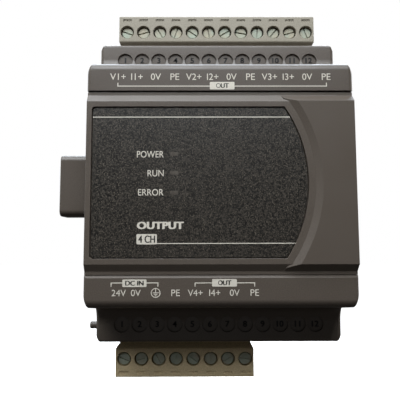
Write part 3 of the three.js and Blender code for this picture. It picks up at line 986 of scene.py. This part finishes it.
def earth_sign(x, z, radius, surface_y, line=0.2):
    """A ring round an upright with three shorter and shorter bars."""
    thick = 2 * ink_depth
    ring = rod("earth", (x, surface_y, z), radius, "Y", thick, 40)
    combine(ring, [rod("cutter", (x, surface_y, z), radius - line, "Y", 1, 40)])
    depth = around(surface_y, ink_depth)
    bars = [block("bar", around(x, line / 2), depth, (z, z + radius * 0.75))]
    for step, share in enumerate((0.62, 0.4, 0.18)):
        half, height = share * radius, z - step * radius * 0.3
        bars.append(block("bar", around(x, half), depth, around(height, line / 2)))
    return join([ring, *bars], "earth_sign")


# %% [markdown]
# The upper and lower rows name the terminals of each plug, with a bracket and a filled
# patch for each group. The dark words on a patch are a second, darker ink layer.

# %% Terminal legends
upper_words = "V1+ I1+ 0V PE V2+ I2+ 0V PE V3+ I3+ 0V PE".split()
upper_first, upper_last, upper_z = -27.2, 28.31, 28.23
label_step = (upper_last - upper_first) / (len(upper_words) - 1)
tick, patch_rise = 0.8, 0.01
white = [
    lettering(word, upper_first + label_step * index, upper_z, 1.75, face_y)
    for index, word in enumerate(upper_words)
]
white += [
    bracket((-27.32, 28.46), 25.66, tick, face_y),
    patch((-2.75, 3.82), (24.74, 26.8), face_y, patch_rise),
]
lower_z = -28.58
lower_words = zip(
    ("24V", "0V", "PE", "V4+", "I4+", "0V", "PE"),
    (-26.2, -21.85, -11.72, -6.7, -1.7, 3.4, 8.53),
)
white += [lettering(word, x, lower_z, 1.62, face_y) for word, x in lower_words]
white += [
    earth_sign(-16.8, lower_z, 1.22, face_y),
    bracket((-28.31, -16.1), -26.06, -tick, face_y),
    patch((-25.31, -19.14), (-27.09, -25.18), face_y, patch_rise),
    bracket((-6.85, 8.64), -26.1, -tick, face_y),
    patch((-2.39, 3.97), (-27.02, -25.13), face_y, patch_rise),
]
legends = join(white, "terminal_legends")
place_on(legends, "housing", ink_white)
over_patch = face_y - 0.02
dark_heavy = 0.17
dark = [
    lettering("OUT", 0.54, 25.77, 1.25, over_patch, 3.4, heavy=dark_heavy),
    lettering("DC IN", -22.22, -26.13, 1.2, over_patch, 4.6, heavy=dark_heavy),
    lettering("OUT", 0.79, -26.08, 1.2, over_patch, 3.4, heavy=dark_heavy),
]
place_on(join(dark, "legend_cutouts"), "housing", ink_dark)

# %% Film legends
print_right = -14.88
film_white = [
    patch((-33.6, 18.4), (17.02, 17.25), film_front),
    patch((-16.6, 19.5), (-16.14, -15.92), film_front),
    lettering("POWER", print_right, 7.2, 1.75, film_front, 7.0, 0.01, "RIGHT"),
    lettering("RUN", print_right, 2.2, 1.7, film_front, 4.2, 0.01, "RIGHT"),
    lettering("ERROR", print_right, -2.8, 1.7, film_front, 6.6, 0.01, "RIGHT"),
    lettering("OUTPUT", -15.65, -11.4, 1.9, film_front, 11.9, 0.06, heavy=0.22),
    patch((-21.78, -16.52), (-16.26, -13.6), film_front, 0.005),
]
place_on(join(film_white, "film_legends"), "housing", ink_white)
channels = lettering("4 CH", -19.15, -14.93, 1.85, film_front - 0.015, 4.2, heavy=0.14)
channels.name = channels.data.name = "film_cutout"
place_on(channels, "housing", ink_dark)

# %% [markdown]
# Small numbers stand in the floor of each screwdriver recess, 1 to 12 on both ledges.

# %% Recess numbers
digits = []
digit_heavy = 0.18
for height in (recess_z + 0.3, -recess_z):
    for index, x in enumerate(recess_xs):
        place = (x - digit_heavy / 2, height)
        digits.append(lettering(str(index + 1), *place, 1.7, recess_floor - 0.02, bold=0.03))
numbers = join(digits, "recess_numbers")
combine(numbers, [duplicate(numbers, "thicker", x=digit_heavy)], "UNION")
place_on(numbers, "housing", ink_black)

# %% [markdown]
# ## Pluggable terminal blocks
# Each block is a bar with a bore, a test mark, a wire entry and a pin entry at every
# pitch, and a narrower neck that plugs into the housing. It is modelled in its own
# frame, with X from its middle, Y back from the screw face and Z out of the housing,
# and then turned and moved to its ledge.

# %% Plug frame
neck_front, neck_back, neck_end = 1.6, 13.2, -8
neck_root, shoulder, side_step = 1.2, 2.7, 1.1
plug_depth, plug_outer = 15, 10.9
screw_z, bore_radius = 5.75, 2.02
plugs = {
    "terminal_plug_12": (12, upper_plug, False, "upper_screw"),
    "terminal_plug_8": (8, lower_plug, True, "lower_screw"),
}


def to_ledge(piece, plug, name=None):
    """Moves a piece from the plug frame to the plug's place on its ledge."""
    _, (low, high), turned, _ = plugs[plug]
    piece.rotation_euler.y = math.pi if turned else 0
    piece.location = mm((low.x + high.x) / 2, low.y, -ledge_top if turned else ledge_top)
    return settle(piece, name)


# %% Plug bar
def plug_bar(name, count):
    half = pitch * count / 2
    bar = block(name, (-half, half), (0, plug_depth), (shoulder, plug_outer))
    pick(bar, "FACE", lambda c: at(c, z=shoulder))
    extrude(z=neck_root - shoulder)
    moves = (({"y": 0}, {"y": neck_front}), ({"y": plug_depth}, {"y": neck_back - plug_depth}),
             ({"x": half}, {"x": -side_step}), ({"x": -half}, {"x": side_step}))
    for planes, move in moves:
        shift(bar, lambda c: at(c, z=neck_root, **planes), **move)
    pick(bar, "FACE", lambda c: at(c, z=neck_root))
    extrude(z=neck_end - neck_root)
    round_edges(bar, 0.3, 3, lambda c: min(p.z for p in c) > shoulder - 0.1)
    first = ways(count)[0]
    bore = rod("cutter", (first, 4.5, screw_z), bore_radius, "Y", 11, 40)
    mouth = rod("cutter", (first, -0.5, screw_z), bore_radius + 0.12, "Y", 1.2, 40)
    slot = block("cutter", around(first, 1.3), (-1, 0.25), (9.15, 9.95))
    rib_xs = around(first, 0.45)
    combine(slot, [block("rib", around(x, 0.12), (0.08, 1), (9, 10.2)) for x in rib_xs])
    entry = block("cutter", around(first, 1.95), (5.2, 10.4), (2, plug_outer + 1))
    flare_z = (plug_outer - 0.6, plug_outer + 1)
    flare = block("cutter", around(first, 2.25), (4.8, 10.8), flare_z)
    scale_at(flare, lambda c: at(c, z=flare_z[0]), (0.86, 0.86, 1), (first, 7.8, 0))
    contact = block("cutter", around(first, 0.9), (6.6, 8.4), (neck_end - 1, 0.5))
    combine(bar, [repeat(tool, count, x=pitch) for tool in (bore, mouth, slot, entry, flare, contact)])
    return tidy(bar)


# %% [markdown]
# Under each screw a plated cage rises to clamp the wire against the contact. It is a
# box with its ends open and a tapped front, made once and copied to all twenty ways.


# %% Wire clamp
def wire_clamp():
    cage = block("wire_clamp", (-1.8, 1.8), (5.35, 10.25), (3, 8.6))
    combine(cage, [
        block("cutter", (-1.35, 1.35), (6.15, 9.55), (2, 10)),
        rod("cutter", (0, 5.5, screw_z), 1.32, "Y", 3, 28),
    ])
    return soften(tidy(cage), 0.12, 2)


# %% [markdown]
# The clamp screw has a slotted cheese head, a short neck and a threaded shank. The
# thread is a row of rings, because only the head shows.


# %% Terminal screw
def terminal_screw():
    head = rod("terminal_screw", (0, 1.85, 0), 1.78, "Y", 2.1, 40)
    round_edges(head, 0.3, 4, lambda c: at(c, y=0.8))
    shank = rod("shank", (0, 5.7, 0), 1.0, "Y", 5.8, 24)
    ring_y = 3.6
    ring = rod("ring", (0, ring_y, 0), 1.0, "Y", 0.5, 24)
    cut_across(ring, "y", ring_y)
    scale_at(ring, lambda c: at(c, y=ring_y), (1.25, 1, 1.25), (0, ring_y, 0))
    repeat(ring, 9, y=0.55)
    combine(head, [shank, ring], "UNION")
    combine(head, [block("cutter", (-3, 3), (0, 1.2), (-0.2, 0.2))])
    return smooth(tidy(head))


# %% Terminals in place
screw_angles = (20, 165, 60, 110, 35, 80, 150, 10, 95, 130, 165, 70)
clamp_master = wire_clamp()
screw_master = terminal_screw()
for plug, (count, _, turned, screw_prefix) in plugs.items():
    bar = plug_bar(f"{plug}_block", count)
    smooth(bar)
    to_ledge(bar, plug)
    # The lower, turned block gets the cream with painted warm light, and the upper block gets the
    # plain cream.
    place_on(bar, plug, lower_cream_painted_warm_light if turned else terminal_cream, [plug])
    for way, x in enumerate(ways(count)):
        number = count - way if turned else way + 1
        clamp = duplicate(clamp_master, f"wire_clamp_{count}_{number}", x=x)
        to_ledge(clamp, plug)
        place_on(clamp, plug, clamp_nickel)
        screw = duplicate(screw_master, f"{screw_prefix}_{number}_slotted")
        screw.rotation_euler.y = math.radians(screw_angles[number - 1])
        screw.location = mm(x, 0, screw_z)
        settle(screw)
        to_ledge(screw, plug)
        node = f"{screw_prefix}_{number}"
        place_on(screw, node, screw_zinc, [node])
bpy.data.objects.remove(clamp_master)
bpy.data.objects.remove(screw_master)

# %% [markdown]
# ## Board headers
# Each plug pushes into an open tray soldered to the board, over one gold pin for each
# way. The tray is a block hollowed from its mouth, and the pin is a square wire with a
# pointed end, repeated at the pitch.


# %% Header tray and pins
def header_tray(count):
    half = pitch * count / 2 - side_step + 0.3
    front, back, floor_z = neck_front - 0.3, neck_back + 0.3, neck_end - 0.3
    side = 1.2
    tray_z = (floor_z - 1.5, -wall - 0.3)
    tray = block("tray", around(0, half + side), grown((front, back), side), tray_z)
    combine(tray, [block("cutter", (-half, half), (front, back), (floor_z, 1))])
    return soften(tidy(tray), 0.2, 2)


def pin_row(count):
    first = ways(count)[0]
    pin = block("pin", around(first, 0.5), (7, 8), (neck_end - 2.8, -1))
    scale_at(pin, lambda c: at(c, z=-1), (0.45, 0.45, 1), (first, 7.5, -1))
    return smooth(repeat(pin, count, x=pitch))


for plug, (count, *_) in plugs.items():
    tray = header_tray(count)
    to_ledge(tray, plug, f"header_tray_{count}")
    place_on(tray, "housing", terminal_cream, [f"header_{count}"])
    pins = pin_row(count)
    to_ledge(pins, plug, f"header_pins_{count}")
    place_on(pins, "housing", contact_gold)

# %% [markdown]
# ## Bus hood, tongue and socket
# Modules pass power and data along the row: a hooded tongue on the left side goes into
# the socket of the neighbour. The hood is a block with round edges, and its mouth is
# inset and pushed in. The tongue carries nine gold fingers on each face.

# %% Hood
hood_x = (hood_low.x, -31.5)
hood = block("bus_hood_shell", hood_x, hood_y, hood_z)
round_edges(hood, 1.8, 8, lambda c: abs(c[0].x - c[1].x) > 5)
round_edges(hood, 0.35, 3, lambda c: at(c, x=hood_x[0]))
pick(hood, "FACE", lambda c: at(c, x=hood_x[0]))
bpy.ops.mesh.inset(thickness=0.85 * MM, use_boundary=True)
extrude(x=11.2)
flange = block("flange", (-32.7, -31.5), grown(hood_y, 2), grown(hood_z, 2))
combine(hood, [flange], "UNION")
tongue_y = (hood_y[0] + 3.7, hood_y[0] + 5.7)
tongue_z = (-5.8, 6.8)
combine(hood, [block("cutter", (-36, -30), grown(tongue_y, 0.3), grown(tongue_z, 0.3))])
tidy(hood)
smooth(hood)
place_on(hood, "housing", housing_grey, ["bus_hood"])

# %% Tongue fingers
finger = block("bus_fingers", (-42.6, -35.5), (tongue_y[0] - 0.06, tongue_y[0] + 0.02), (-4.9, -4.1))
round_edges(finger, 0.25, 3, lambda c: at(c, x=-42.6) and abs(c[0].z - c[1].z) < 0.01)
repeat(finger, 9, z=1.27)
other_side = duplicate(finger, "fingers_behind", y=tongue_y[1] - tongue_y[0] + 0.04)
place_on(join([finger, other_side], "bus_fingers"), "housing", contact_gold)
coat(nodes["bus_contacts"], board_green)

# %% Socket and its springs
socket = copy_of("bus_socket", "bus_socket_body")
soften(socket, 0.18, 2)
place_on(socket, "housing", inner_black, ["bus_socket"])
spring = block("socket_springs", (26, 33.4), (tongue_y[0] - 0.24, tongue_y[0] - 0.1), (-4.9, -4.1))
spring_bend = (31, 32.2)
for cut_x in spring_bend:
    cut_across(spring, "x", cut_x)
shift(spring, lambda c: at(c, x=spring_bend[0]) or at(c, x=spring_bend[1]), y=0.35)
repeat(spring, 9, z=1.27)
place_on(smooth(spring), "housing", contact_gold)

# %% [markdown]
# ## Rear base and sliding tabs
# The base carries the rail slot, the vents and the channels of the two tabs. Its frame
# node is all flat faces, so a merged copy only needs its edges softened. The tabs get
# grip ribs at their outer ends, where a screwdriver or a thumb pulls them.

# %% Base
base = copy_of("rear_base", "rear_housing")
soften(base, 0.25, 2)
place_on(base, "housing", housing_grey, ["rear_base"])


# %% Tabs
def sliding_tab(node, name, side):
    tab = copy_of(node, name)
    low, high = box_mm(node)
    ribs = []
    outer = max(abs(low.z), abs(high.z))
    for step in range(3):
        near = side * (outer - 3.6 - step * 0.9)
        far = near - side * 0.45
        ribs.append(block("rib", (-2.6, 2.6), (high.y - 0.2, high.y + 0.3), sorted((near, far))))
    soften(tab, 0.22, 2)
    combine(tab, ribs, "UNION")
    return smooth(tidy(tab))


tabs = {"mounting_tab": ("upper_mounting_tab", 1), "rail_clip": ("lower_rail_clip", -1)}
for node, (name, side) in tabs.items():
    tab = sliding_tab(node, name, side)
    place_on(tab, node, tab_black, [node])

# %% [markdown]
# ## Inside the case
# The boards and their large parts keep their frame shapes and get their real
# finishes. Rows of chip resistors and ceramic capacitors make the boards look
# populated through the vents and when the case is open.

# %% Coats for the carried over nodes
carried_over = {
    board_green: ("display_board", "io_board", "power_board"),
    clear_guide: ("light_pipe_power", "light_pipe_run", "light_pipe_error",
                  "led_power", "led_run", "led_error"),
    inner_black: ("display_link", "board_link", "dac_chip", "controller_chip",
                  "power_transformer", "isolated_converter"),
    sleeve_blue: ("filter_capacitor_1", "filter_capacitor_2"),
}
for coating, names in carried_over.items():
    for name in names:
        coat(nodes[name], coating)


# %% Chip resistors
def chip_row(name, board, x, z, count, step, length=1.6):
    """A row of chip resistors on the front of a board, with plated ends."""
    seat = box_mm(board)[0].y - 0.02
    part = block(name, around(x, length / 2), (seat - 0.55, seat), around(z, 0.4))
    for cut_x in around(x, length * 0.3):
        cut_across(part, "x", cut_x)
    round_edges(part, 0.06, 1, lambda c: at(c, y=seat - 0.55))
    coat(part, inner_black, clamp_nickel)
    for face in part.data.polygons:
        face.material_index = int(abs(face.center.x / MM - x) > length * 0.3)
    repeat(part, count, z=step)
    return place_on(part, "housing")


chip_row("chip_resistors_left", "io_board", -24, -14, 8, 2.2)
chip_row("chip_resistors_middle", "io_board", -2, -14, 8, 2.2)
chip_row("chip_resistors_right", "io_board", 20, -10, 9, 2.2)
chip_row("ceramic_capacitors", "power_board", 14, -8, 6, 3.2, 3.2)

# %% Finish
visual_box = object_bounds()
for end, *corners in zip(("low", "high"), cad_box, visual_box):
    print("growth in mm,", end, [round((new - old) / MM, 2) for old, new in zip(*corners)])
